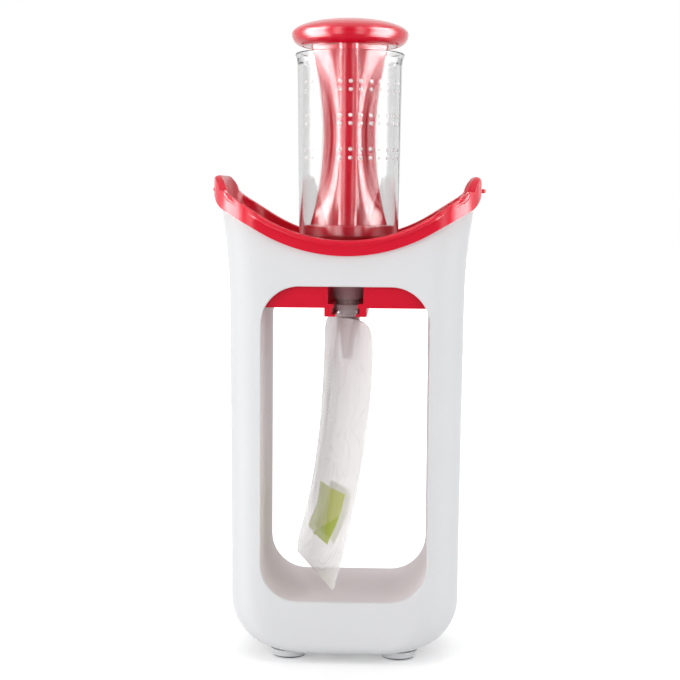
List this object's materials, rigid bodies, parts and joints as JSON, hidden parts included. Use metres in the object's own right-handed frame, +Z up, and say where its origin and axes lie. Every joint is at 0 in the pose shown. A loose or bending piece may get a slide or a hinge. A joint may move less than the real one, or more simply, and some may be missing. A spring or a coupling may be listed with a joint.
{
  "type": "food pouch filling station",
  "caption": "Baby food pouch filler: hollow stand with saddle tray, clear filling tube, piston press and one pouch hanging by its spout from rails in an open bay.",
  "frame": {"origin": "on the tabletop, under the middle of the stand", "axes": "+Z up along the tube, -Y towards the front where pouches slide in, +X to the right seen from the front"},
  "size_m": [0.1428, 0.0928, 0.3302],
  "materials": {
    "white_plastic": "smooth satin",
    "red_plastic": "glossy",
    "red_seal": "smooth",
    "clear_plastic": "clear, polished",
    "pad_rubber": "matte",
    "seal_rubber": "matte",
    "screw_steel": "plain",
    "pouch_film": "frosted film",
    "spout_plastic": "translucent"
  },
  "bodies": {
    "stand": {"stand_body": "white_plastic", "base_plate": "white_plastic", "base_screws": "screw_steel", "foot_pad_front_left": "pad_rubber", "foot_pad_front_right": "pad_rubber", "foot_pad_rear_left": "pad_rubber", "foot_pad_rear_right": "pad_rubber", "tray": "red_plastic"},
    "tube": {"filling_tube": "clear_plastic", "outlet_seal": "seal_rubber"},
    "piston": {"piston_seal": "red_seal"},
    "press": {"press_knob": "red_plastic", "press_stem": "red_plastic"},
    "pouch": {"pouch_bag": "pouch_film", "pouch_spout": "spout_plastic"}
  },
  "joints": [
    {"name": "tube_twist", "type": "hinge", "parent": "stand", "child": "tube", "pos_m": [0, 0, 0.205], "axis": [0, 0, -1], "range_deg": [0, 25]},
    {"name": "press_slide", "type": "slide", "parent": "tube", "child": "piston", "axis": [0, 0, 1], "range_m": [0, 0.115]},
    {"name": "press_turn", "type": "hinge", "parent": "piston", "child": "press", "pos_m": [0, 0, 0.268], "axis": [0, 0, 1], "continuous": true},
    {"name": "pouch_slide", "type": "slide", "parent": "stand", "child": "pouch", "axis": [0, -1, 0], "range_m": [0, 0.036]}
  ]
}
